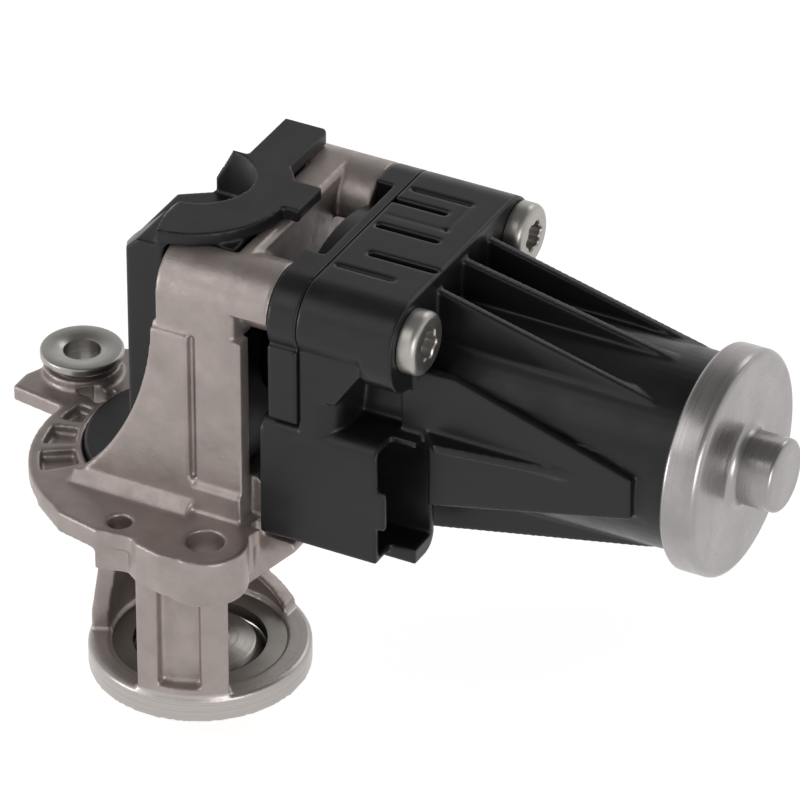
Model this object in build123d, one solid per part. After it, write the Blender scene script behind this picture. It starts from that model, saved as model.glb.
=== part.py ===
from build123d import *
import math
import os

# Exhaust gas recirculation valve. Millimetres. The origin is on the stem axis at the lower
# face of the collar, +Z runs up the stem and +X runs along the motor towards its end cap.

# Fits
running_gap = 0.05
seat_gap = 0.02
closing_gap = 0.25
side_gap = 0.5

# Collar, cage and gas chamber of the cast housing
collar_radius = 19.3
collar_height = 4.6
collar_bore = 15.0
cage_wall = 3.6
cage_top = 31.0
cage_step = 0.5
cage_top_radius = 15.5
leg_start = -6.4
leg_end = 44.3
leg_channel_start = 6.5
leg_channel_end = 29.5
leg_channel_depth = 2.2
rear_wall_start = 170.0
rear_wall_end = 292.0

# Flange and its lugs
flange_top = 44.5
flange_thickness = 8.0
band_thickness = 4.0
band_radius = 26.0
band_shift = -5.0
lug_x = 15.7
lug_y = -25.6
lug_radius = 7.2
lug_bore = 3.25
vent_x = 0.3
vent_y = -27.1
vent_radius = 2.1
bush_x = -27.8
bush_y = 9.9
bush_radius = 7.25
bush_bore = 3.25
bush_top = 49.5
bush_washer = 1.7
tongue_thickness = 3.0
pocket_depth = 1.8
foot_tip_x = 27.3
foot_gap = 0.8
foot_y = -15.6
foot_thickness = 4.0
rear_lug_x = 20.5
rear_lug_y = 21.5

# Output shaft, motor and screws: places seen along the motor axis
motor_y = 8.0
motor_z = 65.1
screw_spread = 18.9
far_shoulder_shift = 2.2
screw_rise = 19.6
low_screw_side = 17.2
low_screw_drop = 14.6
boss_radius = 7.2
screw_radius = 2.4
head_radius = 5.5
head_height = 3.3
screw_length = 32.0

# Upper frame of the cast housing
block_left = 2.7
block_right = 17.2
block_below_screws = 6.2
block_wall = 3.0
block_room_front = -10.4
block_room_step = 13.5
block_rear_room = 11.0
web_foot_left = -14.0
web_proud = 0.8
web_toe_right = 9.5
web_thickness = 3.2
web_right = 18.6
web_groove_x = 9.4
web_groove_width = 0.9
boss_end = 23.5

# Gearbox and motor casing
plate_end = 28.9
panel_end = 40.6
panel_below_screws = 4.1
ear_drop = 2.2
flange_back = 44.2
middle_radius = 25.4
waist_near = -4.2
waist_far = 20.2
flange_front = 46.5
gear_room_end = 39.0
core_radius = 17.6
core_end_radius = 16.8
core_end = 92.6
rib_end = 86.3
rib_spacing = 9.0
rib_thickness = 1.7
rib_rise = 24.8
nose_radius = 9.0
nose_start = 12.4

# Connector shroud
plug_left = 21.8
plug_front = 43.6
plug_step = 4.6
plug_near = -17.9
plug_width = 12.2
plug_drop = 21.5
plug_deeper = 1.6
plug_height = 22.6
plug_wall = 1.3
plug_depth = 15.0
neck_near = -17.2
neck_right = 36.0
pin_count = 5
pin_pitch = 3.4
pin_length = 9.0
pin_width = 1.5
pin_thickness = 0.6

# End cap
cap_radius = 19.4
cap_start = 91.8
cap_end = 98.1
cap_wall = 1.4
stub_radius = 6.3
stub_length = 7.5

# Motor inside its casing
can_radius = 13.4
can_wall = 1.2
can_start = 42.0
can_end = 90.8
rotor_radius = 8.4
rotor_start = 52.0
rotor_end = 78.0
rotor_slots = 8
magnet_wall = 3.6
motor_shaft_radius = 1.6
motor_shaft_start = 31.6
bush_wall = 1.6
commutator_radius = 4.2
commutator_length = 5.0
commutator_gap = 4.0
brush_gap = 5.9
brush_slot = 3.0
brush_slot_height = 3.2
brush_case_wall = 0.7
brush_plate = 1.4
brush_reach = 10.0
shaft_end_gap = 2.2

# Gear train, two stages of one module
gear_module = 0.6
pinion_teeth = 9
idler_teeth = 34
idler_pinion_teeth = 11
sector_teeth = 32
pressure_angle = 20.0
backlash = 0.16
sector_start = 26.6
sector_width = 3.6
idler_start = 33.2
idler_width = 3.2
axle_radius = 1.5

# Crank drive and stem
crank_swing = 24.0
output_shaft_radius = 3.5
crank_start = 5.0
crank_thickness = 3.0
crank_pin_radius = 1.8
roller_radius = 3.6
roller_half = 2.5
yoke_half = 3.0
yoke_gap = 0.14
yoke_wall = 2.4
stem_radius = 3.0
stem_bush_radius = 6.0
stem_bush_low = 27.5
head_rim_radius = 13.1
head_bottom = -1.4
throat_radius = 11.6
seat_low_radius = 13.4
spring_coil_radius = 4.6
spring_wire = 0.5
spring_turns = 4.5

# Black parts on the housing
shield_radius = 19.0
shield_thickness = 2.6
shield_top = 45.9
cover_top_thickness = 2.5
cover_wall = 1.8
cover_disc_radius = 16.4
cover_left = -8.9
cover_right = 13.4
cover_rear = 19.0
bite_left = -3.4
bite_x = -0.9
bite_y = 4.8
bite_radius = 9.0
bite_depth = 6.5
bite_slant = 2.7

# Worked out from the sizes above
screw_z = motor_z + screw_rise
near_screw_y = motor_y - screw_spread
far_screw_y = motor_y + screw_spread
far_shoulder_y = far_screw_y - far_shoulder_shift
low_screw_y = motor_y + low_screw_side
low_screw_z = motor_z - low_screw_drop
casing_top = screw_z + boss_radius
block_bottom = screw_z - block_below_screws
panel_low = screw_z - panel_below_screws
plug_bottom = motor_z - plug_drop
foot_top = plug_bottom - plug_deeper - foot_gap
bite_floor = casing_top - bite_depth
stub_end = cap_end + stub_length
motor_shaft_end = stub_end - shaft_end_gap
brush_slot_start = rotor_end + brush_gap
brush_slot_end = brush_slot_start + brush_slot
block_front = near_screw_y - boss_radius
block_rear = far_shoulder_y + boss_radius
web_front = block_front - web_proud
flange_low = flange_top - flange_thickness
cage_radius = collar_radius - cage_step
crank_radius = motor_y
stroke = 2 * crank_radius * math.sin(math.radians(crank_swing))
pin_y = motor_y - crank_radius * math.cos(math.radians(crank_swing))
pin_z = motor_z + stroke / 2
gear_distance = gear_module * (pinion_teeth + idler_teeth) / 2
idler_z = motor_z + gear_distance
yoke_half_height = roller_radius + yoke_gap + yoke_wall
yoke_low = pin_z - yoke_half_height
cover_top = casing_top + cover_top_thickness
low_end = Align.CENTER, Align.CENTER, Align.MIN


def rod_x(x0, x1, radius, y=motor_y, z=motor_z):
    """A cylinder along X."""
    return Pos(x0, y, z) * Rot(0, 90, 0) * Cylinder(radius, x1 - x0, align=low_end)


def rod_z(z0, z1, radius, x=0.0, y=0.0):
    """A cylinder along Z."""
    return Pos(x, y, z0) * Cylinder(radius, z1 - z0, align=low_end)


def box(x0, x1, y0, y1, z0, z1):
    """A box between two corners."""
    return Pos(x0, y0, z0) * Box(x1 - x0, y1 - y0, z1 - z0, align=(Align.MIN, Align.MIN, Align.MIN))


def plan(points, z0, z1):
    """A prism of an outline seen from above."""
    return Pos(0, 0, z0) * extrude(make_face(Polyline(*points, close=True)), z1 - z0)


def across_x(face, x0, x1):
    """A prism along X of a face drawn in Y and Z."""
    return extrude(Plane(origin=(x0, 0, 0), x_dir=(0, 1, 0), z_dir=(1, 0, 0)) * face, x1 - x0)


def upright(face, y0, y1):
    """A prism along Y of a face drawn in X and Z."""
    plane = Plane(origin=(0, y1, 0), x_dir=(1, 0, 0), z_dir=(0, -1, 0))
    return extrude(plane * face, y1 - y0)


def bearing(angle):
    """Direction of a bearing counted from -Y towards +X, in the usual sense from +X."""
    return angle - 90.0


def sector(start, end, reach, z0, z1):
    """A wedge between two bearings counted from -Y towards +X."""
    steps = max(2, math.ceil((end - start) / 30.0))
    points = [(0, 0)]
    for i in range(steps + 1):
        a = math.radians(bearing(start + (end - start) * i / steps))
        points.append((reach * math.cos(a), reach * math.sin(a)))
    return plan(points, z0, z1)


def on_bearing(angle, radius):
    """Point at a bearing counted from -Y towards +X."""
    a = math.radians(bearing(angle))
    return radius * math.cos(a), radius * math.sin(a)


def turned_x(points, y=motor_y, z=motor_z):
    """A solid of revolution about an axis along X, from (x, radius) points."""
    face = make_face(Polyline(*points, close=True))
    return Pos(0, y, z) * revolve(face, Axis.X)


def turned_z(points):
    """A solid of revolution about the stem, from (radius, z) points."""
    face = Plane.XZ * make_face(Polyline(*points, close=True))
    return revolve(face, Axis.Z)


def gear_face(teeth, phase):
    """Involute spur gear outline with its first tooth at the phase angle."""
    pitch = gear_module * teeth / 2
    base = pitch * math.cos(math.radians(pressure_angle))
    root = pitch - 1.2 * gear_module
    tip = pitch + 0.92 * gear_module
    half = (math.pi * gear_module / 2 - backlash) / (2 * pitch)
    involute = math.tan(math.radians(pressure_angle)) - math.radians(pressure_angle)

    def half_angle(radius):
        a = math.acos(min(1.0, base / max(radius, base)))
        return half + involute - (math.tan(a) - a)

    points = []
    for k in range(teeth):
        middle = math.radians(phase) + 2 * math.pi * k / teeth
        flank = [(root, half_angle(root)), (pitch, half_angle(pitch)), (tip, half_angle(tip))]
        for radius, a in flank:
            points.append((radius * math.cos(middle - a), radius * math.sin(middle - a)))
        for radius, a in reversed(flank):
            points.append((radius * math.cos(middle + a), radius * math.sin(middle + a)))
    return make_face(Polyline(*points, close=True))


def gear_x(teeth, phase, x0, width, z):
    """A spur gear on an axis along X. Phase 0 points a tooth along +Y, 90 along +Z."""
    return Pos(0, motor_y, z) * across_x(gear_face(teeth, phase), x0, x0 + width)


def hull(*circles):
    """Outline that wraps circles given as (y, z, radius)."""
    edges = []
    for y, z, radius in circles:
        edges += (Pos(y, z) * Circle(radius)).edges()
    return make_hull(edges)


def merged(first, *others):
    """One body from several that overlap or touch."""
    result = first
    for other in others:
        result = result + other
    return result


def web_outline(left_top, left_foot, right, top):
    """Upright web with a concave left edge that spreads towards its foot."""
    foot = flange_top - 0.5
    middle = (left_top - 5.15, flange_top + 0.41 * (block_bottom - flange_top))
    edge = ThreePointArc((left_foot, foot), middle, (left_top, block_bottom))
    rest = Polyline((left_top, block_bottom), (left_top, top), (right, top), (right, foot),
                    (left_foot, foot))
    return make_face([edge, rest])


def make_flange():
    """Flange plate with its ribbed band, lugs and bolt holes."""
    low = flange_low
    front = plan([(-17.0, -24.5), (-10.0, -29.6), (-1.8, -31.4), (3.2, -29.9), (6.0, -31.8),
                  (11.0, -33.0), (lug_x, -32.6), (lug_x + 4, -12.0), (-10.0, -12.0)],
                 flange_top - band_thickness, flange_top)
    deep = plan([(-2.5, -31.3), (3.2, -29.9), (6.0, -31.8), (11.0, -33.0), (lug_x, -32.6),
                 (lug_x + 6, -20.0), (18.0, -8.0), (-2.5, -8.0)], low, flange_top)
    band = rod_z(flange_top - tongue_thickness, flange_top, band_radius, 0, band_shift)
    rear = rod_z(flange_top - band_thickness, flange_top, band_radius - 0.6)
    lug = rod_z(low - 0.8, flange_top, lug_radius, lug_x, lug_y)
    tongue = plan([(-36.2, 0.6), (-20.0, -2.0), (-10.0, 16.0), (-24.0, 20.5), (-30.5, 17.6),
                   (-36.2, 5.0)], flange_top - tongue_thickness, flange_top)
    bush_boss = rod_z(flange_top - tongue_thickness, bush_top - bush_washer - 1.2, bush_radius - 0.5,
                      bush_x, bush_y)
    right_cut = box(20.0, 60.0, -18.2, 14.0, low - 1, flange_top + 1)
    rear_lug = rod_z(flange_top - band_thickness, flange_top, lug_radius, rear_lug_x, rear_lug_y)
    foot = upright(make_face(Polyline((13.4, 27.0), (17.2, 29.4), (foot_tip_x, 39.8),
                                      (foot_tip_x - 0.7, foot_top), (21.3, foot_top),
                                      (21.0, flange_top), (13.4, flange_top), close=True)),
                   foot_y, foot_y + foot_thickness)
    pad = box(15.0, 21.0, -14.8, -4.0, low, flange_top + 7.6)
    pad = fillet(pad.edges().filter_by(Axis.Y).group_by(Axis.Z)[-1], 2.2)
    plate = merged(band, front, deep, rear, lug, tongue, bush_boss, rear_lug) - right_cut
    plate = merged(plate, foot, pad)
    plate = plate + rod_z(low, flange_top, shield_radius + 0.5)
    plate -= rod_z(low - 2, flange_top + 2, lug_bore, lug_x, lug_y)
    plate -= rod_z(low - 2, flange_top + 2, vent_radius, vent_x, vent_y)
    plate -= rod_z(low - 2, flange_top + 2, lug_bore, rear_lug_x, rear_lug_y)
    plate -= rod_z(low - 2, bush_top + 2, bush_radius - 2.2 + seat_gap, bush_x, bush_y)
    for middle in (256.0, 274.0, 292.0, 310.0):
        ring = rod_z(flange_top - pocket_depth, flange_top + 1, band_radius - 2.0, 0, band_shift)
        ring -= rod_z(flange_top - pocket_depth, flange_top + 1, shield_radius + 1.6)
        plate -= ring & sector(middle - 6.3, middle + 6.3, 40.0, flange_top - pocket_depth,
                               flange_top + 1)
    slot_x, slot_y = on_bearing(262.0, 22.6)
    plate -= box(slot_x - 4.2, slot_x + 3.4, slot_y + 0.6, slot_y + 3.2, low - 1, flange_top + 1)
    return plate


def make_valve_housing():
    """Cast housing: collar, cage, flange, two webs and the block that carries the drive."""
    collar = rod_z(0, collar_height, collar_radius) - rod_z(-1, collar_height + 1, collar_bore)
    rim = [e for e in collar.edges().filter_by(GeomType.CIRCLE) if e.radius > collar_bore + 1]
    collar = chamfer([e for e in rim if e.center().Z > 1], 0.5)

    leg = rod_z(0.5, flange_low + 1, cage_radius)
    leg -= rod_z(0, flange_low + 2, cage_radius - cage_wall)
    leg &= sector(leg_start, leg_end, 40.0, 0.5, flange_low + 1)
    channel = rod_z(6.3, flange_low + 2, 30.0) - rod_z(6.3, flange_low + 2,
                                                     cage_radius - leg_channel_depth)
    leg -= channel & sector(leg_channel_start, leg_channel_end, 40.0, 6.3, flange_low + 2)
    leg -= rod_z(-1, collar_height, collar_bore)

    outer = [(cage_radius, 0.5), (cage_radius, 8.0), (cage_top_radius, cage_top)]
    inner = [(cage_top_radius - cage_wall, cage_top), (collar_bore + 0.6, 8.0),
             (collar_bore + 0.6, 0.5)]
    shell = turned_z(outer + inner)
    slope = make_face(Polyline((2.0, 0.5), (2.0, 9.0), (10.0, 5.9), (10.6, 0.5), close=True))
    stump = shell & upright(slope, 5.0, 25.0)
    shell &= sector(rear_wall_start, rear_wall_end, 40.0, 0.5, cage_top)

    neck = turned_z([(0, cage_top - 4), (cage_top_radius - 4, cage_top - 4),
                     (cage_top_radius, cage_top - 1), (cage_top_radius + 3, flange_low + 0.5),
                     (0, flange_low + 0.5)])
    gusset = rod_z(cage_top - 3, flange_low + 1, cage_radius) & sector(
        leg_start, leg_end, 40.0, cage_top - 3, flange_low + 1)

    casting = merged(collar, leg, shell, stump, neck, gusset, make_flange())
    casting -= rod_z(shield_top - shield_thickness, flange_top + 2, shield_radius + 0.3)

    web = web_outline(block_left - 0.6, web_foot_left, web_right, block_bottom + 1)
    front_web = upright(web, block_front, block_front + web_thickness)
    proud = upright(web, web_front, block_front + 0.2)
    proud &= box(-30, web_groove_x, -60, 60, flange_top - 1, block_bottom)
    foot_pad = upright(web, web_front, block_front + 0.2) & box(-30, 40, -60, 60, 0, flange_top + 5)
    toe_edge = Polyline((web_front + 0.1, flange_top - 0.5), (web_front - 2.2, flange_top - 0.5),
                        (web_front - 2.2, flange_top), (web_front + 0.1, flange_top + 2.3), close=True)
    toe = across_x(make_face(toe_edge), web_foot_left + 1.0, web_toe_right)
    front_web = merged(front_web, proud, foot_pad, toe)
    groove = box(web_groove_x - web_groove_width / 2, web_groove_x + web_groove_width / 2,
                 web_front - 1, block_front + 0.8, flange_top + 6.0, block_bottom)
    front_web -= groove
    rear_outline = web_outline(block_left + 1.4, web_foot_left + 4, block_right, block_bottom + 1)
    rear_web = upright(rear_outline, shield_radius + 1.8, shield_radius + 5.4)

    block = box(block_left, block_right, block_front, block_rear, block_bottom, casing_top)
    corners = block.edges().filter_by(Axis.X).group_by(Axis.Z)[-1]
    block = fillet(corners, boss_radius - 0.05)
    room_rear = shield_radius + 1.4
    block -= box(-40, block_right - block_wall, block_room_front, block_room_step,
                 block_bottom - 1, casing_top + 1)
    block -= box(-40, block_rear_room, block_room_step, room_rear, block_bottom - 1, casing_top + 1)
    block -= box(-40, block_rear_room, room_rear + 3.2, block_rear - block_wall,
                 block_bottom - 1, casing_top - block_wall)
    top_edge = block.edges().filter_by(Axis.Y).group_by(Axis.Z)[-1].sort_by(Axis.X)[-1]
    block = chamfer(top_edge, 0.9)

    bosses = []
    for y, shoulder in ((near_screw_y, near_screw_y), (far_screw_y, far_shoulder_y)):
        upper = rod_x(block_right - block_wall, boss_end, boss_radius, shoulder, screw_z)
        upper &= box(0, boss_end, y - 20, y + 20, screw_z - 0.2, casing_top + 2)
        bosses += [upper, rod_x(block_right - block_wall, boss_end, 5.0, y, screw_z)]
    low_boss = rod_x(6.0, boss_end, 5.5, low_screw_y, low_screw_z)
    low_boss += box(6.0, block_right, low_screw_y - 4.5, low_screw_y + 4.5,
                    flange_top - 1, low_screw_z)
    casting = merged(casting, front_web, rear_web, block, *bosses, low_boss)

    tap = boss_end - (screw_length - (flange_front - boss_end)) - 1.0
    for y, z in ((near_screw_y, screw_z), (far_screw_y, screw_z), (low_screw_y, low_screw_z)):
        casting -= rod_x(max(tap, 6.5), boss_end + 1, screw_radius + seat_gap, y, z)
    casting -= rod_z(stem_bush_low - 12, flange_top + 3, stem_bush_radius + seat_gap)
    return casting


def make_seat_ring():
    """Pressed-in seat with a throat and a conical seat that opens downwards."""
    ring = turned_z([(throat_radius, 1.9), (throat_radius, 4.2), (collar_bore - seat_gap, 4.2),
                     (collar_bore - seat_gap, 0.1), (seat_low_radius, 0.1)])
    return ring


def make_poppet():
    """Valve head and stem in one forging."""
    slope = (seat_low_radius - throat_radius) / (1.9 - 0.1)
    gap = closing_gap * math.sqrt(1 + slope * slope)
    rim = head_rim_radius
    rim_z = 0.1 + (seat_low_radius - gap - rim) / slope
    bore_r = throat_radius - 0.45
    bore_z = 0.1 + (seat_low_radius - gap - bore_r) / slope
    crown = [(9.6, bore_z + 1.7), (6.8, bore_z + 2.7), (4.2, bore_z + 3.4), (stem_radius, bore_z + 5.0)]
    points = [(0, head_bottom + 0.6), (9.0, head_bottom + 0.6), (10.0, head_bottom),
              (rim - 0.5, head_bottom), (rim, head_bottom + 0.5), (rim, rim_z), (bore_r, bore_z)]
    top = yoke_low + 0.2
    return turned_z(points + crown + [(stem_radius, top), (0, top)])


def make_stem_bush():
    """Guide bush pressed into the housing."""
    bush = rod_z(stem_bush_low, shield_top - shield_thickness - 0.1, stem_bush_radius)
    bush = chamfer(bush.edges().group_by(Axis.Z)[0], 0.6)
    return bush - rod_z(0, 60, stem_radius + running_gap)


def make_stem_seal():
    """Scraper ring on the stem, above the shield."""
    low = shield_top
    return turned_z([(stem_radius + running_gap, low), (3.8, low), (3.8, low + 1.4),
                     (3.4, low + 2.0), (stem_radius + running_gap, low + 2.0)])


def make_spring():
    """Helical return spring between the shield and the spring seat."""
    low = shield_top + 0.15 + spring_wire
    high = yoke_low - 1.6 - 0.15 - spring_wire
    path = Helix(pitch=(high - low) / spring_turns, height=high - low, radius=spring_coil_radius)
    section = Plane(origin=path @ 0, z_dir=path % 0) * RegularPolygon(spring_wire, 6)
    return Pos(0, 0, low) * sweep(section, path, is_frenet=True)


def make_spring_seat():
    """Cupped washer clipped on the stem that carries the top of the spring."""
    low = yoke_low - 1.6
    rim = spring_coil_radius + spring_wire + 0.3
    return turned_z([(stem_radius + seat_gap, low), (rim, low), (rim, low + 0.8),
                     (rim - 1.2, low + 1.6), (stem_radius + seat_gap, low + 1.6)])


def make_yoke():
    """Link on top of the stem with the cross slot that the crank roller runs in."""
    half = yoke_half_height
    body = box(-yoke_half, yoke_half, -7.2, 8.4, pin_z - half, pin_z + half)
    body = fillet(body.edges().filter_by(Axis.X), 2.2)
    slot = RectangleRounded(11.2, 2 * (roller_radius + yoke_gap), 1.2)
    body -= Pos(0, pin_y, pin_z) * across_x(slot, -5, 5)
    body -= rod_z(yoke_low - 1, yoke_low + 0.2, stem_radius + seat_gap)
    collar = rod_z(yoke_low, yoke_low + 1.0, stem_radius + 0.8)
    return body + (collar - rod_z(yoke_low - 1, yoke_low + 0.2, stem_radius + seat_gap))


def make_roller():
    """Roller on the crank pin."""
    roller = rod_x(-roller_half, roller_half, roller_radius, pin_y, pin_z)
    roller = chamfer(roller.edges().filter_by(GeomType.CIRCLE), 0.4)
    return roller - rod_x(-9, 9, crank_pin_radius + running_gap, pin_y, pin_z)


def make_crank():
    """Crank arm on the output shaft with the pin that carries the roller."""
    end = crank_start + crank_thickness
    big = output_shaft_radius + 1.6
    small = crank_pin_radius + 1.6
    arm = across_x(hull((motor_y, motor_z, big), (pin_y, pin_z, small)), crank_start, end)
    arm -= rod_x(crank_start - 1, end + 1, output_shaft_radius + seat_gap)
    pin = rod_x(-roller_half - 0.6, crank_start + 0.5, crank_pin_radius, pin_y, pin_z)
    shoulder = rod_x(roller_half + 0.15, crank_start, crank_pin_radius + 0.8, pin_y, pin_z)
    return merged(arm, pin, shoulder)


def make_output_shaft():
    """Shaft from the crank to the toothed sector."""
    shaft = rod_x(crank_start, sector_start + sector_width + 0.4, output_shaft_radius)
    return chamfer(shaft.edges().filter_by(GeomType.CIRCLE), 0.4)


def make_sector():
    """Toothed sector on the output shaft, cut away below its hub."""
    width = sector_width
    phase = 90.0
    face = gear_face(sector_teeth, phase)
    keep = Pos(0, 12) * Rectangle(60, 24 + 5)
    hub = Circle(output_shaft_radius + 2.6)
    profile = (face & keep) + hub
    profile -= Circle(output_shaft_radius + seat_gap)
    return Pos(0, motor_y, motor_z) * across_x(profile, sector_start, sector_start + width)


def make_idler():
    """Intermediate gear, large wheel and small pinion moulded together."""
    small = gear_x(idler_pinion_teeth, -90.0 + 180.0 / idler_pinion_teeth, sector_start - 0.4,
                   idler_start - sector_start + 0.6, idler_z)
    wheel = gear_x(idler_teeth, -90.0, idler_start, idler_width, idler_z)
    wheel -= rod_x(idler_start - 1, idler_start + 0.9, idler_teeth * gear_module / 2 - 1.9, motor_y,
                   idler_z) - rod_x(0, 99, idler_pinion_teeth * gear_module / 2 + 1.2, motor_y, idler_z)
    hub = rod_x(idler_start, idler_start + idler_width + 0.8, axle_radius + 1.6, motor_y, idler_z)
    gear = merged(small, wheel, hub)
    return gear - rod_x(0, 99, axle_radius + running_gap, motor_y, idler_z)


def make_pinion():
    """Motor pinion, a tooth gap straight up under the tooth of the intermediate wheel."""
    gear = gear_x(pinion_teeth, 90.0 + 180.0 / pinion_teeth, idler_start - 0.5, idler_width + 1.6,
                  motor_z)
    return gear - rod_x(0, 99, motor_shaft_radius - 0.2 + seat_gap)


def make_motor_shaft():
    """Armature shaft, stepped down under the pinion."""
    return turned_x([(motor_shaft_start, 0), (motor_shaft_start, motor_shaft_radius - 0.2),
                     (idler_start + idler_width + 1.6, motor_shaft_radius - 0.2),
                     (idler_start + idler_width + 1.6, motor_shaft_radius),
                     (motor_shaft_end, motor_shaft_radius), (motor_shaft_end, 0)])


def make_armature():
    """Laminated rotor with its winding slots and coil ends."""
    core = rod_x(rotor_start, rotor_end, rotor_radius)
    for k in range(rotor_slots):
        a = 360.0 / rotor_slots * k
        slot = Pos(0, motor_y, motor_z) * Rot(a, 0, 0) * box(
            rotor_start - 1, rotor_end + 1, -0.9, 0.9, rotor_radius - 2.2, rotor_radius + 1)
        core -= slot
    ends = rod_x(rotor_start - 3.6, rotor_end + 3.6, rotor_radius - 2.6)
    return core + ends - rod_x(0, stub_end, motor_shaft_radius + seat_gap)


def make_commutator():
    """Segmented commutator behind the rotor."""
    start = rotor_end + commutator_gap
    body = rod_x(start, start + commutator_length, commutator_radius)
    for k in range(rotor_slots):
        cut = Pos(0, motor_y, motor_z) * Rot(360.0 / rotor_slots * k, 0, 0) * box(
            start - 1, start + commutator_length + 1, -0.2, 0.2, commutator_radius - 0.8,
            commutator_radius + 1.8)
        body -= cut
    return body - rod_x(0, stub_end, motor_shaft_radius + seat_gap)


def make_magnets():
    """Two curved magnets inside the motor can."""
    outer = can_radius - can_wall - seat_gap
    shell = rod_x(rotor_start - 1, rotor_end + 1, outer) - rod_x(0, stub_end, outer - magnet_wall + 0.2)
    gap = box(0, stub_end, motor_y - 3.0, motor_y + 3.0, motor_z - 20, motor_z + 20)
    return shell - gap


def make_motor_can():
    """Drawn steel can of the motor with the front bearing pocket."""
    r = can_radius
    w = can_wall
    seat = motor_shaft_radius + bush_wall + seat_gap
    pocket = motor_shaft_radius + 4.0
    return turned_x([(can_start, seat), (can_start, r), (can_end, r), (can_end, r - w),
                     (can_start + w, r - w), (can_start + w, pocket), (can_start + 3.0, pocket),
                     (can_start + 3.0, seat)])


def make_front_bush():
    """Sintered bush in the motor can."""
    return rod_x(can_start - 0.2, can_start + 3.6, motor_shaft_radius + bush_wall) - rod_x(
        0, stub_end, motor_shaft_radius + running_gap)


def make_rear_bush():
    """Sintered bush in the stub of the end cap."""
    return rod_x(cap_end + 1.0, stub_end - cap_wall - 0.4, stub_radius - cap_wall - seat_gap) - rod_x(
        0, stub_end, motor_shaft_radius + running_gap)


def make_brush_holder():
    """Plate in the end of the can that carries the two brushes."""
    plate_start = brush_slot_end + brush_case_wall
    half = brush_slot_height / 2
    plate = rod_x(plate_start, plate_start + brush_plate, can_radius - can_wall - seat_gap)
    plate -= rod_x(0, stub_end, commutator_radius + 1.2)
    for side in (-1, 1):
        y0, y1 = sorted((motor_y + side * (commutator_radius + 0.4), motor_y + side * (brush_reach + 1.0)))
        plate += box(brush_slot_start - brush_case_wall, plate_start + 0.2, y0, y1,
                     motor_z - half - 0.8, motor_z + half + 0.8)
        plate -= box(brush_slot_start, brush_slot_end, y0 - 2, y1 + 2, motor_z - half, motor_z + half)
    return plate


def make_brushes():
    """Two carbon brushes on the commutator."""
    half = brush_slot_height / 2 - running_gap
    parts = []
    for side in (-1, 1):
        near = commutator_radius + running_gap
        y0, y1 = sorted((motor_y + side * near, motor_y + side * brush_reach))
        parts.append(box(brush_slot_start + running_gap, brush_slot_end - running_gap, y0, y1,
                         motor_z - half, motor_z + half))
    return Compound(children=parts)


def make_end_cap():
    """Drawn cap with rolled edges and the stub that holds the rear bush."""
    r = cap_radius
    w = cap_wall
    s = stub_radius
    rim = [(cap_start, core_end_radius + running_gap), (cap_start, r - 0.9),
           (cap_start + 0.3, r - 0.3), (cap_start + 0.9, r)]
    shoulder = [(cap_end - 1.1, r), (cap_end - 0.3, r - 0.3), (cap_end, r - 1.1)]
    stub = [(cap_end, s + 1.2), (cap_end + 0.3, s + 0.3), (cap_end + 1.2, s),
            (stub_end - 0.7, s), (stub_end - 0.2, s - 0.2), (stub_end, s - 0.7), (stub_end, 0)]
    inside = [(stub_end - w, 0), (stub_end - w, s - w), (cap_end - w, s - w), (cap_end - w, r - w),
              (cap_end - w - 3.0, r - w), (cap_end - w - 3.0, core_end_radius + running_gap)]
    return turned_x(rim + shoulder + stub + inside)


def bar_face(radius, low):
    """Gearbox outline seen along X: flat top, rounded shoulders round the screws."""
    shoulders = hull((near_screw_y, screw_z, radius), (far_shoulder_y, screw_z, radius))
    belly = hull((motor_y, motor_z, low), (motor_y, screw_z - 12, low - 2))
    return shoulders + belly


def low_lobe():
    """Outline of the ear for the low screw."""
    return hull((low_screw_y, low_screw_z, 5.5), (motor_y, motor_z, 8.0))


def make_gearbox_plate():
    """Base plate of the gearbox with the nose that carries the output shaft."""
    face = bar_face(boss_radius, 20.0)
    plate = across_x(face, boss_end, plate_end)
    waist = box(boss_end - 1, plate_end - 1.9, waist_near, waist_far, screw_z - 6, casing_top + 1)
    plate -= waist - rod_x(0, 60, middle_radius)
    plate += across_x(low_lobe(), boss_end, plate_end)
    room = hull((motor_y, motor_z, 12.2), (motor_y, idler_z, 9.0))
    plate -= across_x(room, boss_end + 2.0, plate_end + 1)
    plug_far = plug_near + plug_width
    plug_top = plug_bottom + plug_height
    plate += box(boss_end, plate_end, plug_near, plug_far, plug_top, screw_z - 4)
    plate -= box(0, 60, plug_near - 5, plug_far + side_gap, 0, plug_top + side_gap)
    plate -= across_x(room, boss_end + 2.0, plate_end + 1)
    plate += rod_x(nose_start, boss_end + 2.0, nose_radius)
    plate += rod_x(boss_end + 1.5, sector_start - 0.8, axle_radius + 1.8, motor_y, idler_z)
    plate -= rod_x(0, 60, output_shaft_radius + 2.0 + seat_gap)
    plate -= rod_x(boss_end + 1.0, 60, axle_radius + seat_gap, motor_y, idler_z)
    for y, z in screw_places():
        plate -= rod_x(0, 60, screw_radius + 0.3, y, z)
    return plate


def screw_places():
    """Axes of the three housing screws."""
    return [(near_screw_y, screw_z), (far_screw_y, screw_z), (low_screw_y, low_screw_z)]


def make_shaft_bushes():
    """Two plain bushes in the nose of the gearbox plate."""
    parts = []
    for x0 in (nose_start - 0.4, boss_end - 4.0):
        ring = rod_x(x0, x0 + 5.0, output_shaft_radius + 2.0) - rod_x(
            0, 60, output_shaft_radius + running_gap)
        parts.append(ring)
    return Compound(children=parts)


def make_axle():
    """Steel axle of the intermediate gear."""
    return rod_x(boss_end + 1.0, gear_room_end + 1.4, axle_radius, motor_y, idler_z)


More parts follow.
